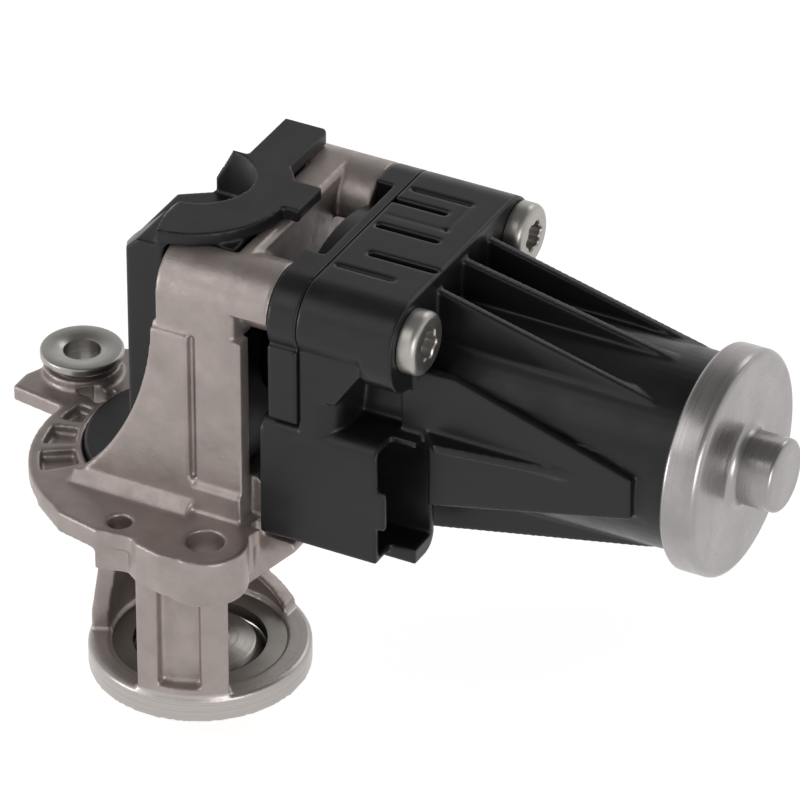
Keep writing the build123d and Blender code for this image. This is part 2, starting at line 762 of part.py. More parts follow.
def rib_plate(side_y, start_z, end_z, sign):
    """One upright rib of the motor casing, tapering to the core."""
    face = make_face(Polyline((flange_back, motor_z), (flange_back, motor_z + sign * start_z),
                              (flange_front, motor_z + sign * start_z),
                              (rib_end, motor_z + sign * end_z), (rib_end, motor_z), close=True))
    return upright(face, side_y - rib_thickness / 2, side_y + rib_thickness / 2)


def make_motor_housing():
    """Moulded casing: gearbox cover, flange with ears, ribbed motor tube and plug shroud."""
    casing = across_x(bar_face(boss_radius, 16.0), plate_end, flange_back + 0.5)
    casing -= box(plate_end - 1, panel_end, block_front - 1, -12.0, 60, panel_low)
    ear = hull((near_screw_y, screw_z, boss_radius), (near_screw_y, screw_z - ear_drop, boss_radius))
    casing = merged(casing, across_x(bar_face(boss_radius, 16.0), panel_end, flange_front),
                    across_x(ear, panel_end, flange_front),
                    across_x(low_lobe(), plate_end, flange_front))
    tube = turned_x([(flange_back, 0), (flange_back, core_radius), (core_end, core_end_radius),
                     (core_end, 0)])
    casing = casing + tube
    for step in (-1, 0, 1):
        y = motor_y + step * rib_spacing
        rise = rib_rise - 0.8 * abs(step)
        fall = math.sqrt(core_end_radius ** 2 - (step * rib_spacing) ** 2)
        casing += rib_plate(y, rise, fall, 1)
        casing += rib_plate(y, rise - 1.5, fall, -1)
    for step in (-1, 1):
        y = motor_y + step * 2 * rib_spacing - step * 0.6
        casing += rib_plate(y, 16.0, 3.8, 1)
        casing += rib_plate(y, 13.0, 3.8, -1)
    side = make_face(Polyline((flange_back, motor_y), (flange_back, motor_y - 15.7),
                              (flange_front, motor_y - 15.7), (52.0, motor_y - 21.6),
                              (rib_end, motor_y - core_end_radius),
                              (rib_end, motor_y + core_end_radius), (flange_front, motor_y + 22.5),
                              (flange_back, motor_y + 22.5), close=True))
    casing += Pos(0, 0, motor_z + 0.6) * extrude(side, rib_thickness)

    casing -= rod_x(can_start, core_end + 1, can_radius + seat_gap)
    room = hull((motor_y, motor_z, 12.2), (motor_y, idler_z, 11.2))
    casing -= across_x(room, plate_end - 1, gear_room_end)
    casing -= rod_x(gear_room_end - 1, can_start + 1, motor_shaft_radius + 2.4)
    casing -= rod_x(gear_room_end - 1, gear_room_end + 1.4, axle_radius + seat_gap, motor_y, idler_z)
    casing += make_plug_shroud()
    casing -= plug_cavity()
    for y, z in screw_places():
        casing -= rod_x(0, 60, screw_radius + 0.3, y, z)
        casing -= rod_x(flange_front, 60, head_radius + 0.6, y, z)
    casing -= top_slots()
    return casing


def make_plug_shroud():
    """Connector body that hangs from the near side of the gearbox."""
    far = plug_near + plug_width
    top = plug_bottom + plug_height
    split = plug_near + 5.2
    long_end = plug_front + plug_step
    near = box(plug_left, plug_front, plug_near, split + 1, plug_bottom, top)
    near = fillet(near.edges().filter_by(Axis.X).group_by(Axis.Z)[-1].sort_by(Axis.Y)[0], 3.0)
    tall = box(plug_left, long_end, split, far, plug_bottom - plug_deeper, top)
    edges = tall.edges().filter_by(Axis.X).sort_by(Axis.Y)[-2:]
    tall = fillet(edges, 3.0)
    latch = box(plug_front - 1, plug_front + 1.6, plug_near, plug_near + plug_wall,
                plug_bottom + 7.0, plug_bottom + 14.4)
    neck = box(plate_end, neck_right, neck_near, far, top - 3, screw_z - 4)
    neck = fillet(neck.edges().filter_by(Axis.Z).group_by(Axis.X)[-1].sort_by(Axis.Y)[0], 4.0)
    flare_low = motor_z + 6.9
    flare_edge = Polyline((plate_end, flare_low), (neck_right - 0.5, flare_low), (panel_end, panel_low - 1),
                          (panel_end, screw_z - 4), (plate_end, screw_z - 4), close=True)
    flare = upright(make_face(flare_edge), neck_near, far)
    bridge = box(plate_end, neck_right, far - 3, motor_y - 12, plug_bottom + 6, screw_z - 4)
    return merged(near, tall, latch, neck, flare, bridge)


def plug_cavity():
    """Space that the mating plug enters."""
    far = plug_near + plug_width
    floor = plug_front - plug_depth
    return box(floor, plug_front + plug_step + 1, plug_near + plug_wall, far - plug_wall,
               plug_bottom + plug_wall, plug_bottom + plug_height - plug_wall)


def top_slots():
    """Slots and parting grooves moulded into the top of the casing."""
    deep = casing_top - 1.6
    fine = casing_top - 0.6
    top = casing_top + 1
    cuts = [box(28.4, 39.0, motor_y + 7.7, motor_y + 8.9, deep, top),
            box(30.2, 41.8, motor_y - 0.6, motor_y + 0.6, deep, top),
            box(33.2, flange_front - 0.6, motor_y - 9.0, motor_y - 7.8, deep, top),
            box(plate_end + 1.2, 41.6, motor_y + 12.3, motor_y + 12.9, fine, top),
            box(41.0, 41.6, motor_y + 3.6, motor_y + 12.9, fine, top),
            box(plate_end + 1.2, 41.6, motor_y + 3.2, motor_y + 3.8, fine, top),
            box(plate_end + 1.2, 41.0, motor_y - 14.4, motor_y - 13.8, fine, top)]
    return merged(*cuts)


def make_connector_pins():
    """Flat contact blades in the plug."""
    floor = plug_front - plug_depth
    y = plug_near + plug_width / 2
    middle = plug_bottom + plug_height / 2
    parts = []
    for k in range(pin_count):
        z = middle + (k - (pin_count - 1) / 2) * pin_pitch
        blade = box(floor, floor + pin_length, y - pin_thickness / 2, y + pin_thickness / 2,
                    z - pin_width / 2, z + pin_width / 2)
        parts.append(blade)
    return Compound(children=parts)


def make_shield():
    """Round black shield on the flange round the stem."""
    plate = rod_z(shield_top - shield_thickness, shield_top, shield_radius)
    plate = chamfer(plate.edges().group_by(Axis.Z)[-1], 0.4)
    plate -= box(-30, 30, -30, block_front + web_thickness + 0.2, 0, 60) & box(
        web_foot_left - 0.6, 30, -30, 30, 0, 60)
    return plate - rod_z(0, 60, stem_radius + 0.3)


def cover_outline(inset):
    """Plan of the cover's skirt."""
    w = inset
    front = block_front + web_thickness + 0.3 + w
    left = cover_left + w
    right = cover_right - w
    rear_right = block_rear_room - 0.6 - w
    return [(left, 10.5 - w * 0.4), (left, -6.7 + w * 0.5), (-4.5 + w * 0.7, front),
            (block_left - 0.3 - w, front), (block_left - 0.3 - w, block_room_front + 0.3 + w),
            (right, block_room_front + 0.3 + w), (right, 12.6 - w), (rear_right, 12.6 - w),
            (rear_right, cover_rear - w), (block_left - 0.1 + w, cover_rear - w),
            (block_left - 0.1 + w, 14.2 - w), (-3.5 + w * 0.5, 14.2 - w)]


def cover_bite():
    """Round bite in the top of the cover, open to the left."""
    top = cover_top + 1
    bite = rod_z(bite_floor, top, bite_radius, bite_x, bite_y)
    bite += box(-20, bite_x, bite_y - bite_radius, bite_y + bite_radius, bite_floor, top)
    slant_low = bite_floor + bite_slant
    slant = Polyline((-20, slant_low), (bite_left, slant_low), (0.0, cover_top), (0.5, top), (-20, top),
                     close=True)
    return merged(bite, box(-20, bite_left, bite_y, 40, bite_floor, top),
                  upright(make_face(slant), bite_y, 40))


def make_cover():
    """Black cover: skirt round the crank drive and a top plate that laps over the block."""
    skirt = plan(cover_outline(0), shield_top, casing_top)
    skirt -= plan(cover_outline(cover_wall), shield_top - 1, bite_floor - cover_wall)
    front = block_room_front + 0.3 + cover_wall
    skirt -= box(block_left, cover_right - cover_wall, front, bite_y - bite_radius - cover_wall,
                 bite_floor - 3, casing_top - cover_wall + 0.2)
    disc = rod_z(casing_top, cover_top, cover_disc_radius, -0.5, 2.2)
    disc &= plan([(0.9, -14.2), (40, -14.2), (40, 40), (2.6, 40), (2.6, 14.2), (bite_left, 14.2),
                  (bite_left, 3.0)], 0, 200)
    tab = box(2.6, 11.0, 10.0, 27.5, casing_top, cover_top)
    tab = fillet(tab.edges().filter_by(Axis.Z).group_by(Axis.Y)[-1].sort_by(Axis.X)[-1], 1.5)
    tongue = box(8.0, 18.8, 2.0, 10.4, casing_top, cover_top)
    cover = merged(skirt, disc, tab, tongue)
    shoulder = Polyline((cover_left - 1, bite_floor - 1.0), (cover_left - 1, cover_top + 1),
                        (0.8, cover_top + 1), close=True)
    cover -= upright(make_face(shoulder), -40, 40)
    cover -= cover_bite()
    cover -= rod_x(block_rear_room - 2.6, 30, nose_radius + 0.4)
    return cover


def make_mounting_bush():
    """Steel compression bush in the left lug, with its collar."""
    sleeve = rod_z(flange_top - tongue_thickness, bush_top, bush_radius - 2.2, bush_x, bush_y)
    collar = rod_z(bush_top - bush_washer, bush_top, bush_radius, bush_x, bush_y)
    bush = sleeve + collar - rod_z(0, 80, bush_bore, bush_x, bush_y)
    return bush


def make_screws():
    """Three pan-head screws through the casing and plate into the cast bosses."""
    parts = []
    for y, z in screw_places():
        shank = rod_x(flange_front - screw_length, flange_front + 0.5, screw_radius, y, z)
        top = flange_front + head_height
        head = turned_x([(flange_front, 0), (flange_front, head_radius), (top - 1.1, head_radius),
                         (top - 0.3, head_radius - 0.3), (top, head_radius - 1.1), (top, 0)], y, z)
        socket = Pos(flange_front + head_height - 1.6, y, z) * Rot(0, 90, 0) * extrude(
            RegularPolygon(2.6, 6), 3)
        parts.append((shank + head) - socket)
    return Compound(children=parts)


builders = {
    "valve_housing": make_valve_housing,
    "seat_ring": make_seat_ring,
    "poppet_valve": make_poppet,
    "stem_guide_bush": make_stem_bush,
    "stem_seal": make_stem_seal,
    "return_spring": make_spring,
    "spring_seat": make_spring_seat,
    "stem_yoke": make_yoke,
    "crank_roller": make_roller,
    "crank_arm": make_crank,
    "output_shaft": make_output_shaft,
    "output_sector": make_sector,
    "shaft_bushes": make_shaft_bushes,
    "intermediate_gear": make_idler,
    "gear_axle": make_axle,
    "motor_pinion": make_pinion,
    "motor_shaft": make_motor_shaft,
    "armature": make_armature,
    "commutator": make_commutator,
    "motor_magnets": make_magnets,
    "motor_can": make_motor_can,
    "front_bush": make_front_bush,
    "rear_bush": make_rear_bush,
    "brush_holder": make_brush_holder,
    "brushes": make_brushes,
    "end_cap": make_end_cap,
    "gearbox_plate": make_gearbox_plate,
    "motor_housing": make_motor_housing,
    "connector_pins": make_connector_pins,
    "shield_disc": make_shield,
    "mechanism_cover": make_cover,
    "mounting_bush": make_mounting_bush,
    "housing_screws": make_screws,
}

os.makedirs("parts", exist_ok=True)
for name, build in builders.items():
    export_step(build(), "parts/" + name + ".step")
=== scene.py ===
import math
import bmesh
import bpy
from mathutils import Matrix, Vector


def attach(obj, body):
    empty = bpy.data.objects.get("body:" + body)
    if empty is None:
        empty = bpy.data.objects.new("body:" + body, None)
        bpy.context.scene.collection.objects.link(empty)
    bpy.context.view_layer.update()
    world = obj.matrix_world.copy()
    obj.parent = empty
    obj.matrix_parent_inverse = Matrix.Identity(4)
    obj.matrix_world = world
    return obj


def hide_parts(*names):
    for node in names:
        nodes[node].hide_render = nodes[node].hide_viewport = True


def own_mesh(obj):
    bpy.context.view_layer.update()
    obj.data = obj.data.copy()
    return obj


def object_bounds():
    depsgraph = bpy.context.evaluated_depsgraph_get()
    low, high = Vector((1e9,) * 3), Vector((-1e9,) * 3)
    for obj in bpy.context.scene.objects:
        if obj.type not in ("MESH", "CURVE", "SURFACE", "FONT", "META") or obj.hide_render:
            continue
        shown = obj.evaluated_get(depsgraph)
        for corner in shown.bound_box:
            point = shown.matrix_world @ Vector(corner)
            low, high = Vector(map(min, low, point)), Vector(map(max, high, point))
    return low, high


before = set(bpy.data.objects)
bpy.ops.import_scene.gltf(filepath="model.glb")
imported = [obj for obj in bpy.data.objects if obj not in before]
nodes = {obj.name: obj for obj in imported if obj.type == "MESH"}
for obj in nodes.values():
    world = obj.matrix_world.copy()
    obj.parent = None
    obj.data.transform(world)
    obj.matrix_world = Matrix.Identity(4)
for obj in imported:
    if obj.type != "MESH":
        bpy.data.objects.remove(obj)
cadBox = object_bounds()
mm = 0.001


# Small helpers for node trees

def newMaterial(name):
    mat = bpy.data.materials.new(name)
    mat.use_nodes = True
    tree = mat.node_tree
    shader = tree.nodes["Principled BSDF"]
    return mat, tree, shader


def addNode(tree, kind, **values):
    node = tree.nodes.new(kind)
    for key, value in values.items():
        setattr(node, key, value)
    return node


def feed(tree, socket, value):
    if isinstance(value, bpy.types.NodeSocket):
        tree.links.new(value, socket)
    else:
        socket.default_value = value


def objectCoords(tree, scale=(1, 1, 1), location=(0, 0, 0), rotation=(0, 0, 0)):
    coords = addNode(tree, "ShaderNodeTexCoord")
    mapping = addNode(tree, "ShaderNodeMapping")
    mapping.inputs["Scale"].default_value = scale
    mapping.inputs["Location"].default_value = location
    mapping.inputs["Rotation"].default_value = rotation
    tree.links.new(coords.outputs["Object"], mapping.inputs["Vector"])
    return mapping.outputs["Vector"]


def noise(tree, vector, scale, detail=3.0, roughness=0.5):
    node = addNode(tree, "ShaderNodeTexNoise")
    node.inputs["Scale"].default_value = scale
    node.inputs["Detail"].default_value = detail
    node.inputs["Roughness"].default_value = roughness
    tree.links.new(vector, node.inputs["Vector"])
    return node.outputs["Fac"]


def grey(value):
    return (value, value, value)


def ramp(tree, factor, stops):
    node = addNode(tree, "ShaderNodeValToRGB")
    elements = node.color_ramp.elements
    while len(elements) < len(stops):
        elements.new(0.5)
    for element, (place, colour) in zip(elements, stops):
        element.position = place
        element.color = (*colour, 1)
    tree.links.new(factor, node.inputs["Fac"])
    return node.outputs["Color"]


def mixColour(tree, factor, first, second):
    node = addNode(tree, "ShaderNodeMix", data_type="RGBA")
    feed(tree, node.inputs[0], factor)
    feed(tree, node.inputs[6], first)
    feed(tree, node.inputs[7], second)
    return node.outputs[2]


def fade(tree, value, start, end):
    # 0 below start, 1 above end
    node = addNode(tree, "ShaderNodeMapRange")
    node.inputs["From Min"].default_value = start
    node.inputs["From Max"].default_value = end
    tree.links.new(value, node.inputs["Value"])
    return node.outputs["Result"]


def bump(tree, shader, heights):
    normal = None
    for height, strength, distance in heights:
        node = addNode(tree, "ShaderNodeBump")
        node.inputs["Strength"].default_value = strength
        node.inputs["Distance"].default_value = distance
        tree.links.new(height, node.inputs["Height"])
        if normal is not None:
            tree.links.new(normal, node.inputs["Normal"])
        normal = node.outputs["Normal"]
    tree.links.new(normal, shader.inputs["Normal"])


def ringNoise(tree, centre, axis, lines):
    # noise that runs in rings round the axis that the piece was turned on
    coords = addNode(tree, "ShaderNodeTexCoord")
    shift = addNode(tree, "ShaderNodeVectorMath", operation="SUBTRACT")
    shift.inputs[1].default_value = centre
    tree.links.new(coords.outputs["Object"], shift.inputs[0])
    flat = addNode(tree, "ShaderNodeVectorMath", operation="MULTIPLY")
    flat.inputs[1].default_value = (0, 1, 1) if axis == "X" else (1, 1, 0)
    tree.links.new(shift.outputs["Vector"], flat.inputs[0])
    length = addNode(tree, "ShaderNodeVectorMath", operation="LENGTH")
    tree.links.new(flat.outputs["Vector"], length.inputs[0])
    parts = addNode(tree, "ShaderNodeSeparateXYZ")
    tree.links.new(shift.outputs["Vector"], parts.inputs[0])
    rings = addNode(tree, "ShaderNodeCombineXYZ")
    tree.links.new(length.outputs["Value"], rings.inputs[0])
    tree.links.new(parts.outputs["X" if axis == "X" else "Z"], rings.inputs[1])
    return noise(tree, rings.outputs["Vector"], lines, 2.0, 0.6)


# Materials

castSettings = {"light": (0.390, 0.336, 0.316), "dark": (0.305, 0.262, 0.245), "metallic": 0.62,
                "roughLow": 0.32, "roughHigh": 0.46, "grain": 1500.0, "swell": 150.0,
                "turnedLight": (0.50, 0.46, 0.44), "turnedDark": (0.42, 0.385, 0.365),
                "turnedRough": 0.26, "turnedLines": 9000.0, "turnedTop": 4.9 * mm}


def castAlloy():
    # die-cast skin everywhere, and a turned finish on the collar
    s = castSettings
    mat, tree, shader = newMaterial("castAlloy")
    at = objectCoords(tree)
    patches = noise(tree, at, s["swell"], 5.0, 0.62)
    skin = ramp(tree, patches, [(0.3, s["dark"]), (0.7, s["light"])])
    rings = ringNoise(tree, (0, 0, 0), "Z", s["turnedLines"])
    turned = ramp(tree, rings, [(0.3, s["turnedDark"]), (0.7, s["turnedLight"])])
    height = addNode(tree, "ShaderNodeSeparateXYZ")
    tree.links.new(at, height.inputs[0])
    above = fade(tree, height.outputs["Z"], s["turnedTop"], s["turnedTop"] + 0.4 * mm)
    tree.links.new(mixColour(tree, above, turned, skin), shader.inputs["Base Color"])
    shader.inputs["Metallic"].default_value = s["metallic"]
    skinRough = ramp(tree, noise(tree, at, s["swell"] * 3), [(0.3, grey(s["roughLow"])),
                                                           (0.7, grey(s["roughHigh"]))])
    turnedRough = ramp(tree, rings, [(0.3, grey(s["turnedRough"])), (0.7, grey(s["turnedRough"] + 0.1))])
    tree.links.new(mixColour(tree, above, turnedRough, skinRough), shader.inputs["Roughness"])
    bump(tree, shader, [(noise(tree, at, s["grain"], 3.0, 0.6), 0.30, 0.00010),
                        (patches, 0.22, 0.0006)])
    return mat


mouldSettings = {"light": (0.013, 0.013, 0.014), "dark": (0.007, 0.007, 0.0075), "roughLow": 0.28,
                 "roughHigh": 0.42, "shine": 0.32, "grain": 2600.0, "swell": 170.0, "flow": 60.0}


def blackMoulding(name="blackMoulding", lift=1.0, roughShift=0.0):
    s = mouldSettings
    mat, tree, shader = newMaterial(name)
    at = objectCoords(tree)
    patches = noise(tree, at, s["swell"], 3.0, 0.55)
    flow = noise(tree, objectCoords(tree, (0.25, 1, 1)), s["flow"], 4.0, 0.6)   # streaks along X
    colour = ramp(tree, flow, [(0.3, tuple(c * lift for c in s["dark"])),
                               (0.7, tuple(c * lift for c in s["light"]))])
    tree.links.new(colour, shader.inputs["Base Color"])
    rough = ramp(tree, patches, [(0.3, grey(s["roughLow"] + roughShift)),
                                 (0.7, grey(s["roughHigh"] + roughShift))])
    tree.links.new(rough, shader.inputs["Roughness"])
    shader.inputs["Specular IOR Level"].default_value = s["shine"]
    bump(tree, shader, [(noise(tree, at, s["grain"], 2.0, 0.5), 0.15, 0.00005)])
    return mat


def turnedSteel(name, light, dark, rough, axis="X", centre=(0, 0, 0), lines=2600.0, metallic=0.9):
    mat, tree, shader = newMaterial(name)
    lineNoise = ringNoise(tree, centre, axis, lines)
    stains = noise(tree, objectCoords(tree), 150.0, 4.0, 0.6)
    tree.links.new(ramp(tree, stains, [(0.3, dark), (0.7, light)]), shader.inputs["Base Color"])
    shader.inputs["Metallic"].default_value = metallic
    tree.links.new(ramp(tree, lineNoise, [(0.3, grey(rough - 0.05)), (0.7, grey(rough + 0.08))]),
                   shader.inputs["Roughness"])
    bump(tree, shader, [(lineNoise, 0.10, 0.00004)])
    return mat


def plainFinish(name, light, dark, rough, metallic=0.0, grain=1200.0):
    mat, tree, shader = newMaterial(name)
    at = objectCoords(tree)
    patches = noise(tree, at, grain * 0.2, 3.0, 0.55)
    tree.links.new(ramp(tree, patches, [(0.3, dark), (0.7, light)]), shader.inputs["Base Color"])
    tree.links.new(ramp(tree, patches, [(0.3, grey(rough - 0.05)), (0.7, grey(rough + 0.07))]),
                   shader.inputs["Roughness"])
    shader.inputs["Metallic"].default_value = metallic
    bump(tree, shader, [(noise(tree, at, grain, 2.0, 0.5), 0.12, 0.00005)])
    return mat


motorAxis = (0.0, 8.0 * mm, 65.1 * mm)
bushAxis = (-27.8 * mm, 9.9 * mm, 0.0)
alloy = castAlloy()
black = blackMoulding()
blackCover = blackMoulding("blackCover", 1.0, 0.05)
capMetal = turnedSteel("capMetal", (0.375, 0.355, 0.350), (0.310, 0.292, 0.288), 0.27, "X", motorAxis)
ringMetal = turnedSteel("ringMetal", (0.42, 0.40, 0.37), (0.33, 0.31, 0.29), 0.32, "Z")
bushMetal = turnedSteel("bushMetal", (0.42, 0.40, 0.38), (0.33, 0.32, 0.30), 0.30, "Z", bushAxis)
screwMetal = plainFinish("screwMetal", (0.43, 0.41, 0.385), (0.34, 0.325, 0.30), 0.32, 0.85)
steel = plainFinish("steel", (0.42, 0.41, 0.40), (0.34, 0.33, 0.32), 0.36, 0.9)
valveMetal = turnedSteel("valveMetal", (0.30, 0.28, 0.26), (0.20, 0.185, 0.17), 0.30, "Z")
bronze = plainFinish("bronze", (0.42, 0.29, 0.14), (0.30, 0.20, 0.10), 0.45, 0.85)
tinned = plainFinish("tinned", (0.60, 0.52, 0.34), (0.50, 0.42, 0.26), 0.3, 0.9)
gearPlastic = plainFinish("gearPlastic", (0.66, 0.63, 0.54), (0.58, 0.55, 0.47), 0.4)
iron = plainFinish("iron", (0.20, 0.19, 0.18), (0.13, 0.12, 0.12), 0.5, 0.7)
darkMagnet = plainFinish("darkMagnet", (0.05, 0.05, 0.052), (0.035, 0.035, 0.037), 0.55, 0.2)
rubber = plainFinish("rubber", (0.02, 0.02, 0.02), (0.013, 0.013, 0.013), 0.6)

finishes = {
    "valve_housing": alloy, "seat_ring": ringMetal, "stem_guide_bush": bronze, "stem_seal": rubber,
    "return_spring": steel, "shield_disc": blackCover, "mechanism_cover": blackCover,
    "mounting_bush": bushMetal, "gearbox_plate": black, "shaft_bushes": bronze, "gear_axle": steel,
    "motor_housing": black, "connector_pins": tinned, "end_cap": capMetal, "motor_can": steel,
    "motor_magnets": darkMagnet, "front_bush": bronze, "rear_bush": bronze,
    "brush_holder": gearPlastic, "brushes": darkMagnet, "housing_screws": screwMetal,
    "motor_shaft": steel, "motor_pinion": steel, "armature": iron, "commutator": tinned,
    "intermediate_gear": gearPlastic, "crank_arm": steel, "output_shaft": steel,
    "output_sector": gearPlastic, "crank_roller": steel, "poppet_valve": valveMetal,
    "spring_seat": steel, "stem_yoke": steel,
}

for name, finish in finishes.items():
    mesh = nodes[name].data
    mesh.materials.clear()
    mesh.materials.append(finish)
print("materials done")


# Mesh helpers

def makePiece(name, mesh, material=None):
    piece = bpy.data.objects.new(name, mesh)
    bpy.context.scene.collection.objects.link(piece)
    if material is not None:
        mesh.materials.clear()
        mesh.materials.append(material)
    return piece


def bake(piece):
    # the modifiers' result becomes the piece's own mesh
    graph = bpy.context.evaluated_depsgraph_get()
    done = bpy.data.meshes.new_from_object(piece.evaluated_get(graph))
    done.name = piece.name
    piece.modifiers.clear()
    piece.data = done
    return piece


def triangles(mesh):
    return sum(len(p.vertices) - 2 for p in mesh.polygons)


def softCopy(nodeName, name, s, material):
    # a copy of a CAD solid with the small roundings that a mould or a casting die leaves
    mesh = nodes[nodeName].data.copy()
    bm = bmesh.new()
    bm.from_mesh(mesh)
    bmesh.ops.remove_doubles(bm, verts=bm.verts, dist=1e-6)
    bm.to_mesh(mesh)
    bm.free()
    piece = makePiece(name, mesh, material)
    remesh = piece.modifiers.new("skin", "REMESH")
    remesh.mode = "VOXEL"
    remesh.voxel_size = s["voxel"]
    remesh.use_smooth_shade = True
    relax = piece.modifiers.new("relax", "SMOOTH")
    relax.factor = 0.5
    relax.iterations = s["passes"]
    bake(piece)
    count = triangles(piece.data)
    if count > s["most"]:
        thin = piece.modifiers.new("thin", "DECIMATE")
        thin.ratio = s["most"] / count
        bake(piece)
    piece.data.shade_smooth()
    piece.data.materials.clear()
    piece.data.materials.append(material)
    print(name, count, "->", triangles(piece.data))
    return piece


def turned(name, profile, place, segments, material):
    # a closed turned piece: profile is a closed list of (along, radius), turned about X
    bm = bmesh.new()
    rows = []
    for along, radius in profile:
        ring = []
        for k in range(segments):
            a = 2 * math.pi * k / segments
            ring.append(bm.verts.new((along, radius * math.cos(a), radius * math.sin(a))))
        rows.append(ring)
    for i in range(len(rows)):
        first, second = rows[i], rows[(i + 1) % len(rows)]
        for k in range(segments):
            n = (k + 1) % segments
            bm.faces.new((first[k], first[n], second[n], second[k]))
    bmesh.ops.remove_doubles(bm, verts=bm.verts, dist=1e-7)
    bmesh.ops.recalc_face_normals(bm, faces=bm.faces)
    bm.transform(place)
    mesh = bpy.data.meshes.new(name)
    bm.to_mesh(mesh)
    bm.free()
    return makePiece(name, mesh, material)


def arc(centre, radius, start, end, steps):
    # points of an arc given by two angles in degrees, in (along, radius)
    points = []
    for i in range(steps + 1):
        a = math.radians(start + (end - start) * i / steps)
        points.append((centre[0] + radius * math.cos(a), centre[1] + radius * math.sin(a)))
    return points


def shadeByAngle(piece, degrees):
    # smooth except where faces meet sharply
    mesh = piece.data
    mesh.shade_smooth()
    bm = bmesh.new()
    bm.from_mesh(mesh)
    limit = math.radians(degrees)
    for edge in bm.edges:
        edge.smooth = len(edge.link_faces) == 2 and edge.calc_face_angle(0.0) < limit
    bm.to_mesh(mesh)
    bm.free()
    return piece


# Cast body and the black mouldings

castBodySettings = {"voxel": 0.36 * mm, "passes": 4, "most": 185000}
casingSettings = {"voxel": 0.29 * mm, "passes": 8, "most": 195000}
plateSettings = {"voxel": 0.32 * mm, "passes": 2, "most": 90000}
coverSettings = {"voxel": 0.32 * mm, "passes": 3, "most": 110000}
discSettings = {"voxel": 0.30 * mm, "passes": 2, "most": 50000}


def makeSoftPieces():
    jobs = [("valve_housing", "castBody", castBodySettings, alloy, "cast_alloy"),
            ("motor_housing", "motorCasing", casingSettings, black, "black_moulding"),
            ("gearbox_plate", "gearboxPlate", plateSettings, black, "black_moulding"),
            ("mechanism_cover", "mechanismCover", coverSettings, blackCover, "black_moulding"),
            ("shield_disc", "shieldDisc", discSettings, blackCover, "black_moulding")]
    for nodeName, name, s, material, slot in jobs:
        piece = softCopy(nodeName, name, s, material)
        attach(piece, "housing")
        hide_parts(nodeName)


makeSoftPieces()
print("castings and mouldings done")


# Drawn end cap with rolled edges

capSettings = {"start": 91.8, "end": 98.1, "radius": 19.4, "inner": 16.85, "wall": 1.4, "stub": 6.3,
               "stubEnd": 105.6, "edge": 1.3, "rim": 0.9, "root": 1.6, "nose": 0.8, "skirt": 3.0,
               "crown": 0.05, "crownInset": 4.0, "crownGap": 1.0, "segments": 160}


def makeEndCap():
    s = capSettings
    r, w, b = s["radius"], s["wall"], s["stub"]
    start, end, tip = s["start"], s["end"], s["stubEnd"]
    profile = [(start, s["inner"])]
    profile += arc((start + s["rim"], r - s["rim"]), s["rim"], 180, 90, 6)
    profile += arc((end - s["edge"], r - s["edge"]), s["edge"], 90, 0, 8)
    crown = end + s["crown"]
    profile += [(crown, r - s["crownInset"]), (crown, b + s["root"] + s["crownGap"])]
    profile += arc((end + s["root"], b + s["root"]), s["root"], 180, 270, 8)
    profile += arc((tip - s["nose"], b - s["nose"]), s["nose"], 90, 0, 6)
    skirt = end - w - s["skirt"]
    profile += [(tip, 0), (tip - w, 0), (tip - w, b - w), (end - w, b - w), (end - w, r - w),
                (skirt, r - w), (skirt, s["inner"])]
    points = [(x * mm, radius * mm) for x, radius in profile]
    cap = turned("endCap", points, Matrix.Translation(motorAxis), s["segments"], capMetal)
    shadeByAngle(cap, 40)
    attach(cap, "housing")
    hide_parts("end_cap")


makeEndCap()


# Steel bush in the left lug

bushSettings = {"low": 41.5, "top": 49.5, "washer": 1.7, "radius": 7.25, "sleeve": 5.05, "bore": 3.25,
                "chamfer": 0.45, "mouth": 0.7, "segments": 96}


def makeBush():
    s = bushSettings
    c, m, top = s["chamfer"], s["mouth"], s["top"]
    under = top - s["washer"]
    profile = [(s["low"], s["bore"]), (s["low"], s["sleeve"]), (under, s["sleeve"]),
               (under, s["radius"] - c)]
    profile += arc((under + c, s["radius"] - c), c, 180, 90, 4)
    profile += arc((top - c, s["radius"] - c), c, 90, 0, 4)
    profile += [(top, s["bore"] + m), (top - m * 0.7, s["bore"])]
    points = [(z * mm, radius * mm) for z, radius in profile]
    upright = Matrix.Translation(bushAxis) @ Matrix.Rotation(-math.pi / 2, 4, "Y")
    bush = turned("mountingBush", points, upright, s["segments"], bushMetal)
    shadeByAngle(bush, 40)
    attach(bush, "housing")
    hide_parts("mounting_bush")


makeBush()
print("turned pieces done")


# Return spring, which the opening valve presses together; here a plain copy of the CAD spring


def makeSpring():
    spring = makePiece("returnSpring", nodes["return_spring"].data.copy(), steel)
    spring.data.shade_smooth()
    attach(spring, "housing")
    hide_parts("return_spring")
    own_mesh(spring)


makeSpring()


# Geometry Nodes helpers

def newTree(name, inputs):
    tree = bpy.data.node_groups.new(name, "GeometryNodeTree")
    tree.interface.new_socket("Geometry", in_out="INPUT", socket_type="NodeSocketGeometry")
    for label, kind in inputs:
        tree.interface.new_socket(label, in_out="INPUT", socket_type=kind)
    tree.interface.new_socket("Geometry", in_out="OUTPUT", socket_type="NodeSocketGeometry")
    start = addNode(tree, "NodeGroupInput")
    return tree, start


def closeTree(tree, geometry, material):
    real = addNode(tree, "GeometryNodeRealizeInstances")
    tree.links.new(geometry, real.inputs["Geometry"])
    paint = addNode(tree, "GeometryNodeSetMaterial")
    paint.inputs["Material"].default_value = material
    tree.links.new(real.outputs["Geometry"], paint.inputs["Geometry"])
    end = addNode(tree, "NodeGroupOutput")
    tree.links.new(paint.outputs["Geometry"], end.inputs["Geometry"])


